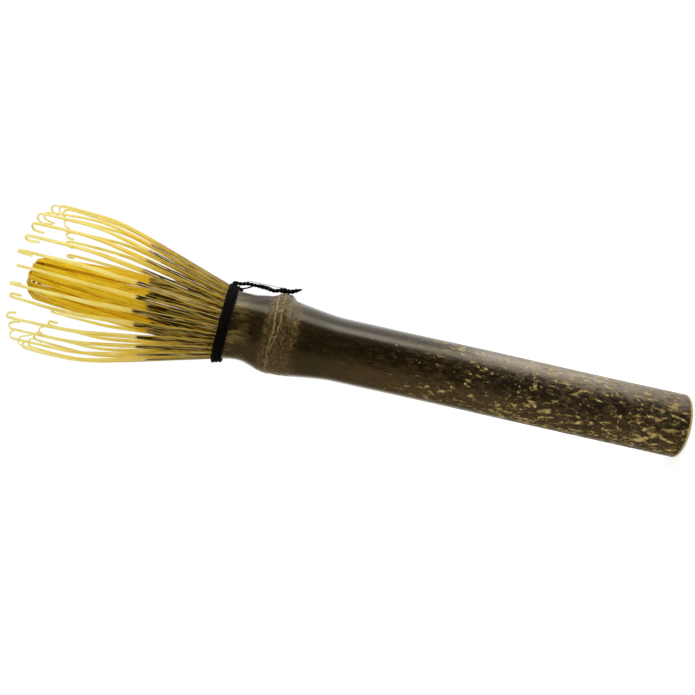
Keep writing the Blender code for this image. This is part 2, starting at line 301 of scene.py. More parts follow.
def culm_skin_material():
    """Smoked black bamboo: glossy dark skin with a lengthwise grain, and tan dashes and worm-like
    marks that crowd towards the butt. Painted light: the skin is paler along -X below the node, as
    painted bounce light, and in patches on +X near the butt, as a painted sheen. The node is
    mottled brown with crinkled lines, the skin is scraped below the thread, and the slits between
    the fingers are painted near-black, as painted shade."""
    n = Nodes(bpy.data.materials.new("black_bamboo_skin"))
    place = n.place()
    x, y, z = n.split(place)

    along = n.stretch(place, (1, 1, 0.1))
    grain = n.noise(along, 2600, 3, 0.6)
    streak = n.noise(along, 520, 3, 0.6, 0.4)
    cloud = n.noise(n.stretch(place, (1, 1, 0.45)), 130, 3, 0.55)
    torn = n.noise(n.stretch(place, (1, 1, 0.6)), 1100, 3, 0.6)

    zone = n.ragged(z, cloud, 0.03)
    dark = n.ramp(
        n.over(zone, DARK_SKIN),
        (0.0, (0.024, 0.0135, 0.003)),
        (0.22, (0.02, 0.011, 0.0022)),
        (0.45, (0.012, 0.0062, 0.001)),
        (0.68, (0.008, 0.0048, 0.0007)),
        (0.76, (0.0085, 0.0086, 0.0014)),
        (0.83, (0.019, 0.011, 0.0018)),
        (1.0, (0.015, 0.009, 0.0014)),
    )
    # Painted bounce light: the -X side is made paler in colour, as if lit from below, fading out
    # below the node.
    under = n.ragged(x, streak, 0.004)
    painted_bounce = n.times(n.step(under, -0.0055, 0.001, 0.85, 0.0), n.step(z, 0.1, 0.12, 1.0, 0.0))
    dark = n.mix(painted_bounce, dark, (0.054, 0.031, 0.008))
    dark = n.mix(n.step(streak, 0.45, 0.75, 0.0, 0.6), dark, (0.03, 0.018, 0.0055))
    dark = n.mix(n.step(grain, 0.35, 0.7, 0.0, 0.35), dark, (0.006, 0.004, 0.001))
    plum = n.times(n.step(cloud, 0.48, 0.62, 0.0, 0.75), n.step(z, 0.03, 0.08, 1.0, 0.3))
    dark = n.mix(plum, dark, (0.015, 0.0088, 0.005))
    mottle = n.noise(n.stretch(place, (1, 1, 0.45), (3, 1, 8)), 850, 3, 0.6, 0.5)
    spotted = n.step(z, 0.08, 0.11, 1.0, 0.15)
    spotted = n.times(n.step(mottle, 0.5, 0.66, 0.0, 0.65), spotted)
    dark = n.mix(spotted, dark, (0.066, 0.038, 0.008))
    dark = n.mix(n.step(mottle, 0.34, 0.48, 0.6, 0.0), dark, (0.005, 0.0028, 0.0008))

    # Marks in soft tones, olive round tan: dashes and blots that crowd towards the butt, fine dots
    # elsewhere.
    crowd = n.noise(n.stretch(place, (1, 1, 0.55), (5, 2, 3)), 170, 2, 0.5)
    crowding = ((0.0, 0.98), (0.16, 0.84), (0.42, 0.76), (0.66, 0.52), (0.82, 0.12), (0.96, 0.0))
    near_butt = n.ramp(n.over(z, MARKED_SKIN), *((at, (grey,) * 3) for at, grey in crowding))
    # More marks on -X and on +X than between them. The extra marks on +X near the butt are partly a
    # painted sheen, lighter where the gloss shines there.
    sides = n.plus(n.step(x, -0.009, 0.001, 0.14, -0.2), n.step(x, 0.0035, 0.007, 0.0, 0.3))
    sides = n.times(sides, n.step(z, -0.02, 0.03))
    sides = n.plus(sides, n.step(z, 0.088, 0.106, 0.0, -0.45))
    amount = n.plus(near_butt, n.plus(sides, n.step(crowd, 0.34, 0.66, -0.16, 0.12)))
    edge = n.minus(0.693, n.times(amount, 0.135))
    dash = n.noise(n.stretch(place, (1, 1, 0.4), (7, 3, 1)), 740, 2, 0.5, 0.3)
    worm = n.noise(n.stretch(place, (1, 1, 0.62), (2, 9, 4)), 640, 2, 0.5, 0.9)
    dots = n.noise(place, 1900, 2, 0.5)
    level = n.math("MAXIMUM", dash, n.minus(worm, 0.045))
    level = n.plus(n.times(level, 0.77), n.times(dots, 0.26))
    above = n.minus(level, edge)
    color = n.mix(n.step(above, -0.06, 0.012, 0.0, 0.85), dark, (0.078, 0.05, 0.012))
    mark = n.step(above, -0.006, 0.04)
    tan_skin = n.ramp(
        n.plus(n.noise(place, 800, 2), n.times(above, 1.2)),
        (0.38, (0.15, 0.098, 0.02)),
        (0.55, (0.275, 0.195, 0.055)),
        (0.74, (0.52, 0.395, 0.15)),
    )
    color = n.mix(mark, color, tan_skin)
    # Painted sheen: patches of paler colour on +X near the butt, where the gloss shines.
    glow = n.times(n.step(x, 0.003, 0.006), n.step(z, 0.045, 0.085, 1.0, 0.0))
    glow = n.times(glow, n.step(mottle, 0.42, 0.56, 0.0, 0.85))
    color = n.mix(glow, color, (0.135, 0.098, 0.06))
    fleck = n.step(n.noise(place, 2900, 1), 0.66, 0.74)
    flecks = n.times(fleck, n.step(x, -0.006, 0.004, 0.75, 0.35))
    color = n.mix(n.times(flecks, n.step(crowd, 0.4, 0.6, 0.3, 1.0)), color, (0.115, 0.08, 0.038))

    # The node: mottled brown, with pale crinkled lines where the sheath was attached.
    scar = n.attribute("scar")
    wrinkle = n.attribute("wrinkle")
    patch = n.noise(n.stretch(place, (1, 1, 1.6)), 900, 4, 0.7)
    node_color = n.ramp(
        patch,
        (0.34, (0.012, 0.007, 0.001)),
        (0.47, (0.058, 0.034, 0.006)),
        (0.58, (0.112, 0.07, 0.014)),
        (0.74, (0.29, 0.205, 0.072)),
    )
    ragged = n.ragged(wrinkle, torn, 1.2)
    band = n.step(ragged, 0.2, 0.95)
    color = n.mix(n.times(band, 0.85), color, node_color)
    torn_scar = n.ragged(scar, torn, 1.9, 0.51)
    torn_scar = n.step(torn_scar, 0.35, 1.0, 0.0, 0.85)
    torn_scar = n.times(torn_scar, n.step(x, -0.01, 0.004, 0.5, 1.0))
    color = n.mix(torn_scar, color, (0.33, 0.24, 0.1))

    # The split end has lighter olive patches where the skin was scraped for the thread.
    hair = n.noise(n.stretch(place, (1, 1, 0.08)), 1500, 3, 0.6)
    scrape = n.noise(n.stretch(place, (1, 1, 0.4), (1, 5, 2)), 330, 4, 0.62)
    fray = n.ragged(z, hair, 0.006)
    scraped = n.times(n.step(fray, 0.136, 0.1428), n.step(scrape, 0.44, 0.56, 0.05, 0.9))
    scraped = n.times(scraped, n.step(hair, 0.35, 0.6, 0.35, 1.0))
    color = n.mix(scraped, color, (0.165, 0.112, 0.03))
    # Painted shade: the slits between the fingers are coloured near-black, as a gap's shade.
    slit = n.attribute("slit")
    color = n.mix(n.times(slit, 0.85), color, (0.004, 0.0025, 0.001))
    rim = n.step(n.ragged(z, dots, 0.0006), 0.0004, 0.0009, 0.9, 0.0)
    color = n.mix(rim, color, (0.62, 0.5, 0.17))

    worn = n.step(z, 0.035, 0.115, 0.15, 0.0)
    rough = n.plus(n.step(grain, 0.2, 0.8, 0.17, 0.25), worn)
    patchy = n.times(n.step(mottle, 0.44, 0.58, 0.0, 0.26), n.step(z, 0.03, 0.085, 1.0, 0.1))
    rough = n.plus(rough, patchy)
    rough = n.plus(rough, n.times(mark, 0.25))
    rough = n.plus(rough, n.times(band, 0.2))
    height = n.plus(n.times(grain, 0.5), n.times(streak, 0.6))
    height = n.plus(height, n.times(mark, -0.25))
    normal = n.bump(height, 0.00004, 0.5)
    dent = n.noise(n.stretch(place, (1, 1, 0.45), (4, 4, 4)), 340, 2, 0.5)
    dent = n.times(dent, n.step(z, 0.05, 0.1, 1.0, 0.25))
    normal = n.bump(dent, 0.00016, 0.8, normal)
    return n.show(n.surface(color, rough, normal, 0.5, (1.0, 0.9, 0.7)))


def culm_cut_material():
    """Sawn bamboo: pale ground with the dark dots of its fibres, the ground darker outwards."""
    n = Nodes(bpy.data.materials.new("sawn_bamboo"))
    place = n.place()
    x, y, z = n.split(place)
    radius = n.math("SQRT", n.plus(n.times(x, x), n.times(y, y)))  # from the culm's middle line
    fibre = n.cells(n.stretch(place, (1, 1, 0.03)), 1900)
    dots = n.step(fibre, 0.3, 0.52, 1.0, 0.0)
    outward = n.step(radius, BORE_RADIUS, HANDLE_RADIUS)
    ground = n.mix(outward, (0.5, 0.36, 0.17), (0.24, 0.15, 0.055))
    color = n.mix(n.times(dots, 0.75), ground, (0.085, 0.048, 0.017))
    saw = n.noise(n.stretch(place, (0.15, 1, 1)), 2600, 2, 0.6)
    color = n.mix(n.step(saw, 0.35, 0.7, 0.0, 0.25), color, (0.62, 0.49, 0.28))
    normal = n.bump(n.plus(saw, dots), 0.00006, 0.7)
    return n.show(n.surface(color, n.step(saw, 0.2, 0.8, 0.55, 0.8), normal))


TINE_LENGTH = 0.066  # the length over which the flesh's colours run
SHINE_THROUGH = 0.38  # the share of light that passes through a tine


def tine_material():
    """Split bamboo. The outer tines are golden and paler towards the tip, the inner ones deeper in
    colour, both with fibres along them. Dark skin, worn in places, covers the outside near the
    root, and some outer tines carry a painted highlight along one edge of it. Light passes through."""
    n = Nodes(bpy.data.materials.new("split_bamboo"))
    run = n.attribute("run")
    past = n.attribute("past")  # distance beyond the end of the dark skin
    across = n.attribute("across")
    skin = n.attribute("skin")
    own = n.attribute("own")
    inner = n.attribute("inner")

    lane = n.join(across, n.times(own, 7.3), n.times(run, 0.055))
    fibre = n.noise(lane, 9000, 2, 0.55)
    strand = n.noise(lane, 2600, 1, 0.5)
    patch = n.join(across, n.times(own, 3.1), n.times(run, 0.25))
    stain = n.noise(patch, 420, 3, 0.6)
    lot = n.math("FRACT", n.times(own, 5.7))

    flesh = n.ramp(
        n.over(run, TINE_LENGTH),
        (0.0, (0.6, 0.4, 0.04)),
        (0.3, (0.84, 0.63, 0.075)),
        (0.46, (0.95, 0.8, 0.17)),
        (0.66, (0.98, 0.9, 0.3)),
        (1.0, (0.985, 0.955, 0.52)),
    )
    core = n.ramp(
        n.over(run, TINE_LENGTH),
        (0.0, (0.48, 0.28, 0.006)),
        (0.38, (0.99, 0.68, 0.014)),
        (0.8, (0.99, 0.76, 0.02)),
        (0.94, (0.82, 0.58, 0.01)),
        (1.0, (0.33, 0.2, 0.004)),
    )
    light = n.mix(inner, (0.98, 0.92, 0.42), (0.98, 0.74, 0.06))
    deep = n.ramp(
        n.over(run, TINE_LENGTH),
        (0.0, (0.4, 0.25, 0.02)),
        (0.45, (0.74, 0.54, 0.05)),
        (1.0, (0.88, 0.78, 0.26)),
    )
    deep = n.mix(inner, deep, (0.54, 0.32, 0.003))
    color = n.mix(inner, flesh, core)
    color = n.mix(n.step(strand, 0.53, 0.64, 0.0, 0.75), color, deep)
    color = n.mix(n.step(strand, 0.4, 0.48, 0.75, 0.0), color, light)
    gold = n.times(n.step(lot, 0.35, 1.0, 0.0, 0.6), n.step(run, 0.02, 0.05, 1.0, 0.5))
    color = n.mix(gold, color, n.mix(inner, (0.95, 0.71, 0.09), (0.99, 0.78, 0.04)))
    color = n.mix(n.step(fibre, 0.46, 0.78, 0.0, 0.3), color, deep)
    color = n.mix(n.step(stain, 0.55, 0.8, 0.0, 0.4), color, deep)

    covered = n.step(n.ragged(past, fibre, 0.004), -0.0004, 0.0004, 1.0, 0.0)
    covered = n.times(covered, n.step(skin, 0.45, 0.85))
    dark = n.mix(n.step(stain, 0.35, 0.7), (0.038, 0.0215, 0.0026), (0.074, 0.045, 0.006))
    worn = n.times(n.step(strand, 0.49, 0.57), n.step(stain, 0.35, 0.6, 0.6, 1.0))
    dark = n.mix(worn, dark, (0.58, 0.42, 0.11))
    # Painted highlight: a pale line along one edge of the skin on some outer tines, as an edge
    # glint.
    painted_edge_highlight = n.times(n.step(across, 0.00048, 0.00056), n.step(across, 0.00068, 0.00076, 1.0, 0.0))
    painted_edge_highlight = n.times(painted_edge_highlight, n.times(n.step(lot, 0.5, 0.52), n.step(stain, 0.46, 0.54)))
    painted_edge_highlight = n.times(painted_edge_highlight, n.step(run, 0.008, 0.012))
    painted_edge_highlight = n.times(painted_edge_highlight, n.minus(1.0, inner))
    dark = n.mix(painted_edge_highlight, dark, (0.93, 0.84, 0.64))
    color = n.mix(covered, color, dark)

    rough = n.mix(covered, n.step(fibre, 0.2, 0.8, 0.55, 0.7), n.step(fibre, 0.2, 0.8, 0.38, 0.5))
    normal = n.bump(fibre, 0.00003, 0.6)
    solid = n.surface(color, rough, normal, 0.16, (1.0, 0.9, 0.6))
    through = n.new("BsdfTranslucent", {"Color": color}).outputs[0]
    both = n.new("MixShader", {0: SHINE_THROUGH, 1: solid, 2: through})
    return n.show(both.outputs[0])


def thread_material(name, color, lighter):
    """Spun thread: fibres that run round the strand, and loose lighter hairs."""
    n = Nodes(bpy.data.materials.new(name))
    run = n.attribute("run")
    across = n.attribute("across")
    slanted = n.join(n.plus(across, n.times(run, 0.9)), n.times(run, 0.12), 0.0)
    fibres = n.noise(slanted, 9000, 2, 0.6)
    cloud = n.noise(n.place(), 1500, 2)
    shade = n.mix(n.step(fibres, 0.42, 0.78, 0.0, 0.8), color, lighter)
    shade = n.mix(n.step(cloud, 0.35, 0.75, 0.0, 0.35), shade, color)
    normal = n.bump(fibres, 0.00006, 0.9)
    return n.show(n.surface(shade, n.step(fibres, 0.2, 0.8, 0.72, 0.92), normal, 0.1))


# --- Meshes -----------------------------------------------------------------------------------
def add_object(name, data):
    made = bpy.data.objects.new(name, data)
    bpy.context.scene.collection.objects.link(made)
    return made


def add_piece(name, mesh, materials, slot, *nodes):
    for material in materials:
        mesh.materials.append(material)
    piece = add_object(name, mesh)
    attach(piece, "root")
    if nodes:
        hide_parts(*nodes)


def make_mesh(name, points, faces, facts, sharp=60, face_materials=None):
    mesh = bpy.data.meshes.new(name)
    mesh.from_pydata(points, [], faces)
    for fact, values in facts.items():
        mesh.attributes.new(fact, "FLOAT", "POINT").data.foreach_set("value", values)
    if face_materials:
        mesh.polygons.foreach_set("material_index", face_materials)
    mesh.shade_smooth()
    mesh.set_sharp_from_angle(angle=radians(sharp))
    mesh.update()
    return mesh


def skin_rings(rings, first=0, loop=False, caps=True):
    """Faces between rings of the same number of points, numbered from first on."""
    count, last = len(rings[0]), len(rings) - 1
    faces = []
    for row in range(last + loop):
        a, b = first + row * count, first + (row + 1) % len(rings) * count
        for i in range(count):
            j = (i + 1) % count
            faces.append((a + i, a + j, b + j, b + i))
    if caps and not loop:
        faces.append(tuple(first + i for i in reversed(range(count))))
        faces.append(tuple(first + last * count + i for i in range(count)))
    return faces


# --- Culm -------------------------------------------------------------------------------------
FINGER_SIDES = 6
CULM_SIDES = 2 * TINE_PAIRS * FINGER_SIDES
SLIT_BELOW_BAND = 0.0024  # the longest slit between two fingers shows this much
SLIT_GROOVE = 0.00012
SLIT_GROOVE_UNDER_BAND = 0.0006
UNEVENNESS = 0.00016
OUT_OF_ROUND = 0.0001
LINE_HEIGHTS = (0.00022, 0.00014, 0.00007)  # the sheath's three lines
LINE_WIDTHS = (0.0003, 0.00026, 0.00028)
WRINKLED_FROM = 0.12
WRINKLED_TO = 0.1355
RIPPLE_HEIGHT = 0.00006
FOLD_HEIGHT = 0.00007
BORE_ROUNDING = 6  # rows in the bore's domed end, and in each part below
BORE_ROWS = 12
BUTT_ROWS = 5
CUP_ROWS = 7
BUTT_FACE = ((0.0061, 0.00014), (0.00632, 0.0), (0.0072, 0.0), (0.0082, 0.0), (0.009, 0.0))
BORE_EDGE = 0.0004
MOUTH_EDGE = 0.0002


def scar_height(angle):
    """Where the sheath's line runs at an angle round the node: wavy, as a leaf base is."""
    x, y = cos(angle), sin(angle)
    line = NODE_MIDDLE + 0.0007 * wave(x * 1.3, y * 1.3, 4.0) + 0.00035 * wave(x * 5, y * 5, 9.0)
    return line + 0.00018 * wave(x * 16, y * 16, 13.0) + 0.0007 * blend(x)


def skin_point(angle, height):
    """A point of the culm's outside before its lean, with how much it belongs to the sheath's
    lines, to the wrinkled band round them and to a slit between two fingers."""
    way = Vector((cos(angle), sin(angle), 0.0))
    radius = culm_radius(height) + side_bulge(way.x, height)
    radius += UNEVENNESS * wave(way.x * 0.8, way.y * 0.8, height * 22)
    radius += OUT_OF_ROUND * cos(2 * angle + 0.7)

    line = scar_height(angle)
    second = mix(0.0004, 0.0022, blend((way.x + 1) / 2))
    second += 0.0004 * wave(way.x * 4.5, way.y * 4.5, 21.0)
    third = 0.0012 + 0.0004 * wave(way.x * 3.5, way.y * 3.5, 33.0)
    offsets = (0.0, -second, third)
    lines = [bell((height - line - at) / wide) for at, wide in zip(offsets, LINE_WIDTHS)]
    links = blend((wave(way.x * 9.0, way.y * 9.0, height * 260) - 0.12) / 0.2)
    links *= bell((height - line + second / 2) / 0.0009)
    scar = max(lines[0], 0.85 * lines[1], 0.45 * lines[2], 0.55 * links)
    radius += sum(rise * share for rise, share in zip(LINE_HEIGHTS, lines))

    start = WRINKLED_FROM + 0.002 * wave(way.x * 1.7, way.y * 1.7, 51.0)
    band = blend((height - start) / 0.006) * blend((WRINKLED_TO - height) / 0.004)
    ripple = wave(way.x * 5.5, way.y * 5.5, height * 1500)
    fold = wave(way.x * 9.0, way.y * 9.0, height * 650)
    radius += band * (RIPPLE_HEIGHT * ripple + FOLD_HEIGHT * fold)

    turned = (angle - TINE_TURN) / (pi / TINE_PAIRS)
    slot = (turned + 0.5) % 1.0
    between = abs(slot - round(slot)) * FINGER_SIDES
    number = int(turned + 0.5) % (2 * TINE_PAIRS)
    length = SLIT_BELOW_BAND * noise.cell(Vector((number + 0.5, 2.0, 7.0))) ** 2
    band_start = SPLIT_END + BINDING_START + band_sag(angle)
    end = band_start - THREAD_RADIUS - length
    open_share = blend((height - end) / 0.0012)
    slit = 0.0
    if between < 0.5:
        slit = open_share
        under_band = blend((height - band_start) / 0.0008)
        radius -= mix(SLIT_GROOVE, SLIT_GROOVE_UNDER_BAND, under_band) * open_share
    return radius, scar, band, slit


def culm_heights():
    heights = []
    for start, end, step in (
        (BUTT_EDGE, 0.01, 0.0012),
        (0.01, 0.1, 0.002),
        (0.1, 0.1225, 0.0011),
        (0.1225, 0.1345, 0.0002),
        (0.1345, 0.1415, 0.0005),
        (0.1415, SPLIT_END, 0.00035),
    ):
        count = round((end - start) / step)
        heights += [mix(start, end, i / count) for i in range(count)]
    return [*heights, SPLIT_END]


def add_culm(skin, cut):
    """The culm as one closed surface: bore, sawn butt, skin, split end and cup."""
    rows = []  # each is a function of the angle that gives radius, height and the three facts
    kinds = []

    def even(radius, height, kind):
        rows.append(lambda angle, r=radius, h=height: (r, h, 0.0, 0.0, 0.0))
        kinds.append(kind)

    bore_top = NODE_MIDDLE - DIAPHRAGM / 2
    for i in range(1, BORE_ROUNDING + 1):
        a = pi / 2 * i / BORE_ROUNDING
        even(BORE_RADIUS * sin(a), bore_top - BORE_RADIUS / 2 * (1 - cos(a)), 1)
    for i in range(1, BORE_ROWS + 1):
        even(BORE_RADIUS, mix(bore_top - BORE_RADIUS / 2, BORE_EDGE, i / BORE_ROWS), 1)
    for radius, height in BUTT_FACE:
        even(radius, height, 1)
    for i in range(BUTT_ROWS):
        a = pi / 2 * i / BUTT_ROWS
        even(HANDLE_RADIUS - BUTT_EDGE * (1 - sin(a)), BUTT_EDGE * (1 - cos(a)), 1 if i < 3 else 0)
    for height in culm_heights():

        def outside(angle, h=height):
            radius, *facts = skin_point(angle, h)
            return radius, h, *facts

        rows.append(outside)
        kinds.append(0)
    even(MOUTH_RADIUS + MOUTH_EDGE, SPLIT_END, 1)
    even(MOUTH_RADIUS, SPLIT_END - MOUTH_EDGE, 1)
    cup_floor = NODE_MIDDLE + DIAPHRAGM / 2
    cup_dome = (WAIST - cup_floor) / 2
    for i in range(CUP_ROWS):
        a = pi / 2 * (1 - i / CUP_ROWS)
        even(CUP_RADIUS * sin(a), cup_floor + cup_dome * (1 - cos(a)), 1)

    rings = []
    facts = {"scar": [], "wrinkle": [], "slit": []}
    for row in rows:
        ring = []
        for i in range(CULM_SIDES):
            angle = TINE_TURN + 2 * pi * i / CULM_SIDES
            radius, height, *values = row(angle)
            ring.append(lean(Vector((radius * cos(angle), radius * sin(angle), height))))
            for fact, value in zip(facts.values(), values):
                fact.append(value)
        rings.append(ring)
    points = [point for ring in rings for point in ring]
    faces = skin_rings(rings, caps=False)
    face_kinds = [max(pair) for pair in zip(kinds, kinds[1:]) for _ in range(CULM_SIDES)]
    for row, height, turn in ((0, bore_top, 1), (len(rows) - 1, cup_floor, -1)):
        centre = len(points)
        points.append(lean(Vector((0, 0, height))))
        for fact in facts.values():
            fact.append(0.0)
        for i in range(CULM_SIDES):
            j = (i + 1) % CULM_SIDES
            face = (row * CULM_SIDES + j, row * CULM_SIDES + i, centre)
            faces.append(face if turn > 0 else tuple(reversed(face)))
            face_kinds.append(1)
    mesh = make_mesh("culm", points, faces, facts, 70, face_kinds)
    add_piece("culm", mesh, (skin, cut), "black_bamboo", "bamboo_handle")


# --- Tines ------------------------------------------------------------------------------------
ROOT_DEPTH = 0.0012  # the root goes this far down into the culm's wall
EDGE_EASE = 0.22  # of the thickness
SKIN_SCATTER = 0.0026  # how much the ends of the dark skin differ from tine to tine
SWAY = 0.0005
INNER_SWIRL = 0.0013  # the inner tines all lean sideways by this much


def tine_path(start, legs, hook, back):
    """Stations of a tine as (distance along it, radius, height, heading), from its root up."""
    hook_radius, hook_turn, hook_steps = hook
    heading = radians(start)
    along, radius, height = 0.0, TINE_ROOT_RADIUS, CLEARANCE
    sunk = radius - sin(heading) * ROOT_DEPTH * 0.3
    stations = [(-ROOT_DEPTH, sunk, height - ROOT_DEPTH, heading * 0.3)]
    stations.append((along, radius, height, heading))
    turn_leg = (hook_radius * radians(hook_turn), -hook_turn, hook_steps)
    for length, turn, steps in (*legs, turn_leg, (back, 0.0, 2)):
        for _ in range(steps):
            heading += radians(turn) / steps / 2
            along += length / steps
            radius += sin(heading) * length / steps
            height += cos(heading) * length / steps
            heading += radians(turn) / steps / 2
            stations.append((along, radius, height, heading))
    return stations


def tine_mesh(name, stations, widths, angle, sway, twist, own, inner):
    """A strip of split bamboo with eased edges. sway moves it sideways and twist turns it about
    its own line, both growing towards the tip."""
    skin_end, more = INNER_SKIN if inner else OUTER_SKIN
    skin_end += more * cos(angle) + SKIN_SCATTER * (own * 3.9 % 1.0 - 0.5)
    body_width, tip_width = widths
    full = stations[-1][0]
    points = []
    facts = {"run": [], "past": [], "across": [], "skin": [], "own": [], "inner": []}
    rings = []
    turned = HEAD @ Matrix.Rotation(angle, 4, "Z")
    for along, radius, height, heading in stations:
        share = max(along, 0.0) / full
        thick = mix(SPLIT_WALL, mix(BODY_THICKNESS, TIP_THICKNESS, share), blend(along / THINNING))
        root_in = 2 * (radius - thick / 2) * sin(pi / (2 * TINE_PAIRS)) - ROOT_GAP
        root_out = 2 * (radius + thick / 2) * sin(pi / (2 * TINE_PAIRS)) - ROOT_GAP
        rough_cut = 1 + 0.1 * wave(own * 31, share * 9, 1.0)
        grown = blend(along / WIDENING)
        width_in = mix(mix(root_in, body_width, grown), tip_width, blend(share)) * rough_cut
        width_out = mix(mix(root_out, body_width, grown), tip_width, blend(share)) * rough_cut
        thick *= 1 + 0.12 * wave(own * 17, share * 7, 5.0)
        turn = Matrix.Rotation(twist * share * share, 3, Vector((sin(heading), 0, cos(heading))))
        outward = turn @ Vector((cos(heading), 0, -sin(heading)))
        side = turn @ Vector((0, 1, 0))
        wander = sway * share**1.6 + 0.5 * SWAY * share * wave(own * 23, share * 4, 8.0)
        middle = Vector((radius, wander, height))
        ease = min(thick, width_in) * EDGE_EASE
        half_in, half_out, half_t = width_in / 2, width_out / 2, thick / 2
        section = (
            (half_out - ease, half_t, 1.0),
            (half_out, half_t - ease, 0.0),
            (half_in, -half_t + ease, 0.0),
            (half_in - ease, -half_t, 0.0),
            (-half_in + ease, -half_t, 0.0),
            (-half_in, -half_t + ease, 0.0),
            (-half_out, half_t - ease, 0.0),
            (-half_out + ease, half_t, 1.0),
        )
        ring = [turned @ (middle + side * a + outward * b) for a, b, _ in section]
        rings.append(ring)
        points += ring
        for a, b, skin in section:
            values = (along, along - skin_end, a + b * 1.7, skin, own, inner)
            for fact, value in zip(facts.values(), values):
                fact.append(value)
    return make_mesh(name, points, skin_rings(rings), facts, 40)


def vary_hook(hook, sizes, turns):
    radius, turn, steps = hook
    return radius * draw.uniform(*sizes), turn + draw.uniform(*turns), steps


def add_tine(ring, number, material, *shape):
    mesh = tine_mesh(f"{ring}_strip_{number + 1:02d}", *shape)
    add_piece(mesh.name, mesh, (material,), "shaved_bamboo", f"{ring}_tine_{number + 1:02d}")


def add_tines(material):
    """The outer ring, then the inner one, each tine a little different from its neighbours."""
    pitch = 2 * pi / TINE_PAIRS
    for number in range(TINE_PAIRS):
        own = draw.random()
        legs = [list(leg) for leg in OUTER_LEGS]
        legs[0][1] += draw.gauss(0, 0.35)
        legs[2][1] += draw.gauss(0, 1.2)
        legs[3][0] *= 1 + draw.uniform(-0.05, 0.03)
        legs[3][1] += draw.gauss(0, 2.0)
        hook = vary_hook(OUTER_HOOK, (0.85, 1.25), (-28, 22))
        back = OUTER_RETURN * draw.uniform(0.6, 1.5)
        add_tine(
            "outer",
            number,
            material,
            tine_path(OUTER_START + draw.gauss(0, 0.12), legs, hook, back),
            (OUTER_WIDTH * draw.uniform(0.92, 1.06), OUTER_TIP_WIDTH * draw.uniform(0.85, 1.1)),
            TINE_TURN + number * pitch,
            draw.gauss(0, SWAY),
            draw.gauss(0, radians(9)),
            own,
            0.0,
        )
    for number in range(TINE_PAIRS):
        own = draw.random()
        legs = [list(leg) for leg in INNER_LEGS]
        legs[0][1] += draw.gauss(0, 0.5)
        legs[1][1] += draw.gauss(0, 0.8)
        legs[2][1] += draw.gauss(0, 0.7)
        legs[3][0] *= 1 + draw.uniform(-0.04, 0.01)
        hook = vary_hook(INNER_HOOK, (0.8, 1.15), (-20, 20))
        add_tine(
            "inner",
            number,
            material,
            tine_path(INNER_START, legs, hook, INNER_RETURN),
            (INNER_WIDTH * draw.uniform(0.9, 1.06), INNER_TIP_WIDTH * draw.uniform(0.9, 1.15)),
            TINE_TURN + (number + 0.5) * pitch,
            INNER_SWIRL + draw.gauss(0, SWAY),
            draw.gauss(radians(8), radians(8)),
            own,
            1.0,
        )


# --- Thread -----------------------------------------------------------------------------------
BINDING_STEPS = 168  # points in a turn, before they are spaced evenly
BINDING_SEAT = 0.00012  # the cord lies this far off the tines' roots
BINDING_TUCK = 0.0012  # its first end is tucked in this far
SEPARATOR_STEPS = 280
SEPARATOR_INSET = 0.00035
SEPARATOR_DROP = 0.0018
LOOSE_RADIUS = 0.00028
DROP_RADIUS = 0.00024
KNOT_RADIUS = 0.0008
KNOT_STEPS = 45
KNOT_STRAND = 0.00026
LONG_HAIR = 0.000085
SHORT_HAIR = 0.00003
SHORT_HAIRS = 14


def vectors(*points):
    return [Vector(point) for point in points]


def spaced(points, step, closed=False):
    """The same line with a point every step along it."""
    line = [*points, points[0]] if closed else list(points)
    lengths = [(b - a).length for a, b in zip(line, line[1:])]
    total = sum(lengths)
    count = max(2, round(total / step))
    result = []
    piece, gone = 0, 0.0
    for i in range(count if closed else count + 1):
        want = total * i / count
        while piece < len(lengths) - 1 and gone + lengths[piece] < want:
            gone += lengths[piece]
            piece += 1
        share = (want - gone) / lengths[piece] if lengths[piece] else 0.0
        result.append(line[piece].lerp(line[piece + 1], min(max(share, 0.0), 1.0)))
    return result


def frames_along(points, closed):
    """A normal and a binormal at each point, carried along the line without turning."""
    count = len(points)
    result = []
    normal = None
    for i, point in enumerate(points):
        before = points[i - 1] if i or closed else point
        after = points[(i + 1) % count] if i + 1 < count or closed else point
        tangent = (after - before).normalized()
        if normal is None:
            normal = tangent.orthogonal().normalized()
        normal = (normal - tangent * normal.dot(tangent)).normalized()
        result.append((normal, tangent.cross(normal)))
    return result


def ply_line(points, offset, pitch, phase, radii, closed):
    """The middle of one ply of a twisted thread that runs along points."""
    result = []
    gone = 0.0
    total = sum((b - a).length for a, b in zip(points, points[1:]))
    if closed:
        total += (points[0] - points[-1]).length
    turns = round(total / pitch)  # a closed thread has whole turns
    for i, (point, (normal, side)) in enumerate(zip(points, frames_along(points, closed))):
        if i:
            gone += (point - points[i - 1]).length
        turn = phase + 2 * pi * (gone / total * turns if closed else gone / pitch)
        reach = offset * radii[i]
        result.append(point + normal * cos(turn) * reach + side * sin(turn) * reach)
    return result


class Tubes:
    """Collects tubes into one mesh."""

    def __init__(self, sides=8):
        self.sides = sides
        self.points, self.faces = [], []
        self.facts = {"run": [], "across": []}

    def add(self, line, radii, closed=False):
        first = len(self.points)
        gone = 0.0
        rings = []
        for i, (point, (normal, side)) in enumerate(zip(line, frames_along(line, closed))):
            if i:
                gone += (point - line[i - 1]).length
            ring = []
            for k in range(self.sides):
                turn = 2 * pi * k / self.sides
                ring.append(point + (normal * cos(turn) + side * sin(turn)) * radii[i])
                self.facts["run"].append(gone)
                self.facts["across"].append(abs(turn - pi) * radii[i])
            rings.append(ring)
            self.points += ring
        self.faces += skin_rings(rings, first, closed)


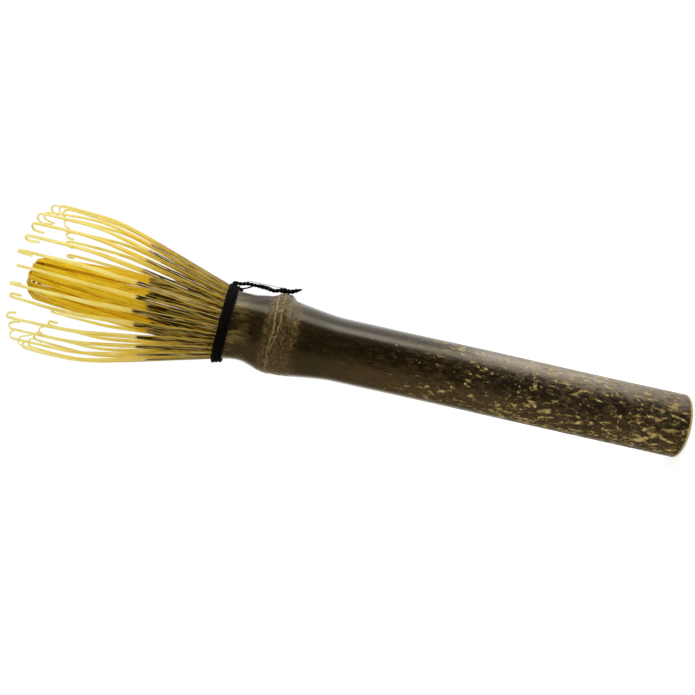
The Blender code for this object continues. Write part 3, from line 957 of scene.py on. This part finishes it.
def add_twist(tubes, points, radius, pitch=0.0019, radii=None, closed=False, plies=2):
    """A thread of twisted plies along points. radii widens or narrows it from point to point."""
    radii = radii or [1.0] * len(points)
    ply = radius * 0.56
    for number in range(plies):
        phase = 2 * pi * number / plies
        line = ply_line(points, radius - ply, pitch, phase, radii, closed)
        tubes.add(line, [ply * r for r in radii], closed)


def add_cord(name, tubes, material, *nodes):
    mesh = make_mesh(name, tubes.points, tubes.faces, tubes.facts)
    add_piece(name, mesh, (material,), "black_thread", *nodes)


def head_radius(height):
    """The radius under the thread at a height above the split end: the culm's or the fan's."""
    if height <= 0:
        return culm_radius(SPLIT_END + height)
    return SPLIT_RADIUS + height * tan(radians(OUTER_START))


def smooth_route(points, steps):
    """A smooth line through all the points, in this many steps from each to the next."""
    ends = [2 * points[0] - points[1], *points, 2 * points[-1] - points[-2]]
    route = []
    for a, b, c, d in zip(ends, ends[1:], ends[2:], ends[3:]):
        for i in range(steps):
            t = i / steps
            bend = 2 * a - 5 * b + 4 * c - d
            swing = 3 * b - a - 3 * c + d
            route.append((2 * b + (c - a) * t + bend * t * t + swing * t * t * t) / 2)
    return [*route, points[-1]]


def band_sag(angle):
    """How far the band lies above its place in the CAD. It hangs low on the near side, -Y."""
    return -0.0003 - 0.00032 * cos(angle) + 0.0012 * sin(angle)


def add_binding(material):
    steps = BINDING_TURNS * BINDING_STEPS
    points = []
    for i in range(steps + 1):
        gone = BINDING_TURNS * i / steps
        angle = BINDING_END_ANGLE - (BINDING_TURNS - gone) * 2 * pi
        height = BINDING_START + gone * BINDING_PITCH + band_sag(angle)
        tuck = 1 - blend(gone * 20)
        slack = 0.00007 * wave(cos(angle) * 3, sin(angle) * 3, gone * 2)
        radius = head_radius(height) + side_bulge(cos(angle), SPLIT_END + height)
        radius += THREAD_RADIUS + BINDING_SEAT + slack - BINDING_TUCK * tuck
        height += 0.00008 * wave(cos(angle) * 4, sin(angle) * 4, gone * 3 + 40)
        points.append(HEAD @ Vector((radius * cos(angle), radius * sin(angle), height)))
    tubes = Tubes()
    points = spaced(points, 0.00028)
    radii = [1 + 0.06 * noise.noise(point * 900) for point in points]
    add_twist(tubes, points, THREAD_RADIUS * 1.18, radii=radii, plies=3)
    add_cord("binding_cord", tubes, material, "binding_thread")


def add_separator(material):
    low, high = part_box("separating_thread")
    centre = HEAD.inverted() @ ((low + high) / 2)
    radius = (high.y - low.y) / 2 - SEPARATOR_RADIUS - SEPARATOR_INSET
    points = []
    for i in range(SEPARATOR_STEPS):
        angle = 2 * pi * i / SEPARATOR_STEPS
        dip = 0.00012 * cos(angle * TINE_PAIRS) - SEPARATOR_DROP
        points.append(HEAD @ Vector((radius * cos(angle), radius * sin(angle), centre.z + dip)))
    tubes = Tubes()
    add_twist(tubes, spaced(points, 0.0003, True), SEPARATOR_RADIUS, 0.0011, closed=True)
    add_cord("separating_cord", tubes, material, "separating_thread")


def tail_route():
    """The route of the thread's end in the head's own frame: the CAD's, pressed on the band."""
    last = BINDING_START + BINDING_TURNS * BINDING_PITCH
    start_angle = BINDING_END_ANGLE + CLEARANCE * 1.6 / head_radius(last)
    seat = head_radius(last) + CLEARANCE + THREAD_RADIUS
    over_band = seat + THREAD_RADIUS + CLEARANCE + TAIL_RADIUS
    over_node = NODE_RADIUS + KNUCKLE_HEIGHT + CLEARANCE + TAIL_RADIUS * KNOT_SWELL
    node = NODE_MIDDLE - SPLIT_END
    return vectors(
        (seat * cos(start_angle) - 0.0003, seat * sin(start_angle), last - 0.0014),
        (seat, seat * sin(start_angle) / 2, last - 0.0015),
        (over_band - 0.0012, -0.0002, last - 0.002),
        (over_band - 0.001, 0.0002, last - 0.0035),
        (over_band - 0.0005, 0.0002, last - 0.0053),
        (over_band - 0.0004, 0.0001, last - 0.0084),
        (over_band - 0.0005, 0.0, last - 0.0116),
        (over_node - 0.0009, 0.0, node + 0.0034),
        (over_node - 0.0002, 0.0, node + 0.0012),
        (over_node, 0.0, node - 0.0015),
        (over_node + 0.0007, 0.0, node - 0.0031),
        (over_node + 0.0017, 0.0001, node - 0.0051),
    )


def route_points(route, steps, spacing):
    """Points along a smooth route, which is given in the head's own frame."""
    return spaced([HEAD @ point for point in smooth_route(route, steps)], spacing)


def add_tail(material):
    """The tied end of the thread. Gives its route and its points."""
    route = tail_route()
    points = route_points(route, 10, 0.00022)
    radii = []
    for i, point in enumerate(points):
        share = i / (len(points) - 1)
        knot = 0.45 * bell((share - 0.78) / 0.1) + 0.1 * bell((share - 0.07) / 0.07)
        flare = mix(1.0, 0.3, blend((share - 0.93) / 0.07))
        radii.append((1 + knot + 0.12 * noise.noise(point * 700)) * flare)
    tubes = Tubes()
    add_twist(tubes, points, TAIL_RADIUS * 1.12, 0.0024, radii)
    add_cord("tied_end", tubes, material, "thread_tail")
    return route, points


def add_knot(node, material):
    """Two turns of the same thread that hold the tail down over the node."""
    steps = 2 * KNOT_STEPS
    ring = []
    for i in range(steps):
        turn = 2 * pi * i / KNOT_STEPS
        x, y = KNOT_RADIUS * cos(turn), KNOT_RADIUS * sin(turn)
        ring.append(HEAD @ (node + Vector((x, y, -0.0012 + 0.0014 * i / steps))))
    tubes = Tubes(6)
    add_twist(tubes, spaced(ring, 0.0002), KNOT_STRAND, 0.0012)
    add_cord("knot_turns", tubes, material)


def add_loose_ends(route, node, material):
    """A second strand beside the tail, and one that hangs on the shoulder."""
    beside = vectors(
        (-0.0002, 0.0006, -0.0004),
        (-0.001, 0.0009, -0.0003),
        (-0.0014, 0.0004, -0.0004),
        (-0.0012, 0.0003, -0.0003),
        (0.0003, 0.0004, 0.0),
        (0.0006, 0.0003, 0.0),
        (0.0002, 0.0004, 0.0),
    )
    second = [place + offset for place, offset in zip(route[1:], beside)]
    hanging = vectors(
        (0.0002, -0.0006, -0.0016),
        (-0.0001, -0.0011, -0.0022),
        (-0.0009, -0.0016, -0.0024),
        (-0.0017, -0.0021, -0.0024),
    )
    drop = [node + offset for offset in hanging]
    tubes = Tubes(6)
    add_twist(tubes, route_points(second, 8, 0.0002), LOOSE_RADIUS, 0.0013)
    add_twist(tubes, route_points(drop, 8, 0.0002), DROP_RADIUS, 0.0012)
    add_cord("loose_ends", tubes, material)


def add_stray_fibres(start, points, material):
    """Two long fine hairs over the neck, and short ones that stand off the tail."""
    hair = vectors(
        (0.0003, 0.0002, -0.0012),
        (0.0015, 0.0003, -0.0036),
        (0.0017, 0.0001, -0.0067),
        (0.0018, -0.0002, -0.0092),
        (0.0019, 0.0001, -0.0137),
        (0.002, 0.0003, -0.0175),
    )

    def scatter(low):
        return Vector((draw.uniform(low, 1), draw.uniform(-1, 1), draw.uniform(-1, 1)))

    tubes = Tubes(5)
    for lift, reach in ((0.0, 1.0), (-0.0007, 0.62)):
        way = [start + offset * reach + Vector((lift, -lift, 0)) for offset in hair]
        line = route_points(way, 8, 0.0004)
        tubes.add(line, [LONG_HAIR] * len(line))
    for _ in range(SHORT_HAIRS):
        at = points[draw.randrange(6, len(points) - 3)]
        way = scatter(0.2).normalized()
        bow = scatter(-1) * 0.0004
        reach = draw.uniform(0.0006, 0.0015)
        line = smooth_route([at, at + way * reach * 0.5 + bow, at + way * reach], 5)
        tubes.add(line, [SHORT_HAIR] * len(line))
    add_cord("stray_fibres", tubes, material)


# --- Camera, floor and light ------------------------------------------------------------------
PICTURE = 695  # the picture's side in pixels
FOCAL_LENGTH = 900  # in the same pixels
SENSOR = 36.0
CAMERA_AIM = Vector((0.00038, 0, 0.10718))
CAMERA_DISTANCE = 0.2838
CAMERA_YAW = radians(0.63)
CAMERA_ROLL = radians(-13.13)
FLOOR_HALF = 3.0
FLOOR_COLOR = (0.8, 0.8, 0.8)
FLOOR_GLOW = 0.45  # added to the floor for the camera alone
AMBIENT = 0.88
ROOM = (0.04, 0.032, 0.02)
TABLE = (1.0, 0.78, 0.46)
WHITE = (1.0, 1.0, 1.0)


def add_camera():
    data = bpy.data.cameras.new("camera")
    data.sensor_width = SENSOR
    data.lens = FOCAL_LENGTH / PICTURE * SENSOR
    data.clip_start = 0.01
    data.clip_end = 20.0
    camera = add_object("camera", data)
    right, up, ahead = vectors((0, 0, -1), (1, 0, 0), (0, 1, 0))
    yaw = Matrix.Rotation(CAMERA_YAW, 3, up)
    right, ahead = yaw @ right, yaw @ ahead
    roll = Matrix.Rotation(CAMERA_ROLL, 3, ahead)
    right, up = roll @ right, roll @ up
    turned = Matrix((right, up, -ahead)).transposed().to_4x4()
    camera.matrix_world = Matrix.Translation(CAMERA_AIM - ahead * CAMERA_DISTANCE) @ turned
    bpy.context.scene.camera = camera


def add_lamp(name, place, target, size, power):
    data = bpy.data.lights.new(name, "AREA")
    data.shape = "RECTANGLE"
    data.size, data.size_y = size
    data.energy = power
    lamp = add_object(name, data)
    lamp.location = place
    lamp.rotation_euler = (Vector(target) - Vector(place)).to_track_quat("-Z", "Y").to_euler()
    return lamp


def add_world():
    """A white studio. The camera and what shows through see plain white, and diffuse light comes
    evenly from all round. The gloss sees a room instead, dark in front: a long soft box over the
    whisk's +X side, a pale ceiling and wall behind it, and a warm table below."""
    world = bpy.data.worlds.new("studio")
    n = Nodes(world, "World")
    x, y, z = n.split(n.new("TexCoord").outputs["Generated"])
    turn = n.math("ARCTAN2", x, n.times(y, -1.0))  # 0 towards -Y, rising towards +X

    def around(start, end, low=0.0, high=1.0):
        return n.step(turn, radians(start), radians(end), low, high)

    box = around(62, 72)
    tube = n.times(n.times(box, around(80, 98, 4.2, 0.0)), n.step(z, -0.2, -0.08, 0.3, 1.0))
    ceiling = n.times(box, around(110, 150, 1.2, 1.55))
    behind = around(-160, -126, 1.4, 0.0)
    above = n.times(n.plus(n.plus(tube, ceiling), behind), n.step(z, 0.04, 0.16, 1.0, 0.7))
    table = n.times(around(-60, -15, 0.5, 0.0), around(-125, -70, 0.6, 1.0))
    mirrored = n.mix(1.0, n.mix(table, ROOM, TABLE), n.join(above, above, above), "ADD")
    rays = n.new("LightPath").outputs
    level = n.mix(rays["Is Glossy Ray"], (AMBIENT, AMBIENT, AMBIENT), mirrored)
    shine = n.new("Background", {"Color": n.mix(n.seen(), level, WHITE)})
    n.show(shine.outputs[0])
    world.cycles.sampling_method = "NONE"
    bpy.context.scene.world = world


def add_floor():
    """A pale floor that keeps the whisk's shadow. The gloss sees the room through it."""
    corners = [(x * FLOOR_HALF, y * FLOOR_HALF, 0) for x, y in ((-1, -1), (1, -1), (1, 1), (-1, 1))]
    mesh = make_mesh("floor", corners, [(0, 1, 2, 3)], {})
    n = Nodes(bpy.data.materials.new("floor"))
    flat = n.new("BsdfDiffuse", {"Color": FLOOR_COLOR}).outputs[0]
    glow = n.new("Emission", {"Strength": n.times(n.seen(), FLOOR_GLOW)}).outputs[0]
    both = n.new("AddShader", {0: flat, 1: glow})
    mesh.materials.append(n.show(both.outputs[0]))
    floor = add_object("floor", mesh)
    floor.visible_glossy = False


# --- Scene ------------------------------------------------------------------------------------
add_camera()
add_world()
add_floor()
key = add_lamp("key", (0.55, -0.2, 0.12), (0, 0, 0.12), (0.5, 0.6), 1.8)
key.visible_glossy = False
# A small lamp by the butt that only the gloss sees.
window = add_lamp("window", (0.07, 0.012, 0.03), (0, 0, 0.03), (0.05, 0.062), 0.045)
window.visible_camera = window.visible_diffuse = window.visible_transmission = False

add_culm(culm_skin_material(), culm_cut_material())
add_tines(tine_material())
black = thread_material("black_thread_fibre", (0.0025, 0.0022, 0.0018), (0.0085, 0.0075, 0.006))
grey = thread_material("grey_fibre", (0.2, 0.2, 0.21), (0.42, 0.42, 0.42))
add_binding(black)
add_separator(black)
tail, tail_points = add_tail(black)
at_band, at_node = tail[2], tail[8]
add_knot(at_node, black)
add_loose_ends(tail, at_node, black)
add_stray_fibres(at_band, tail_points, grey)

bpy.context.scene.view_settings.view_transform = "Standard"
